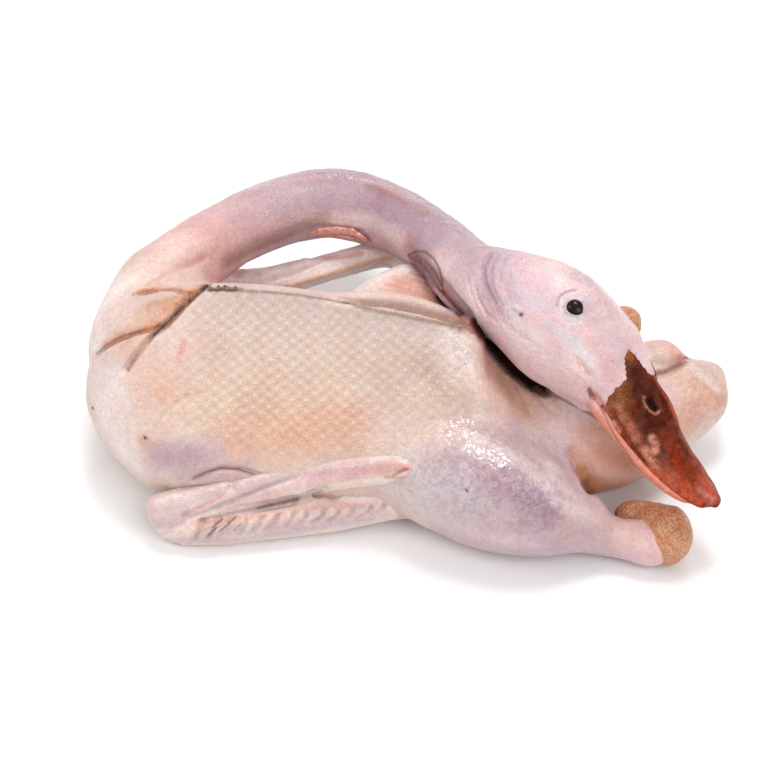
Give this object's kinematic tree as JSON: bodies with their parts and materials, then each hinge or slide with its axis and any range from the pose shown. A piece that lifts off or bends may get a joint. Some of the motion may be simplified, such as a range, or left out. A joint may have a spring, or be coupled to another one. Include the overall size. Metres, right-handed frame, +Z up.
{
  "type": "whole plucked duck",
  "caption": "Raw plucked duck lying on its back, wings folded, legs cut at the hocks, neck curled over its far side and head resting on its belly.",
  "frame": {"origin": "centre of the bounding box at the surface the bird lies on", "axes": "+X from the breast towards the tail, +Y away from the near wing towards the far one, +Z up through the keel"},
  "size_m": [0.2368, 0.1758, 0.0841],
  "materials": {
    "skin": "pale moist plucked skin",
    "bill": "mottled brown horn, orange at the tip",
    "hock": "dry scaly brown skin",
    "eye": "wet dark eye",
    "flesh": "wet red flesh in the neck's cut"
  },
  "bodies": {
    "root": {"duck": "skin"}
  },
  "joints": []
}
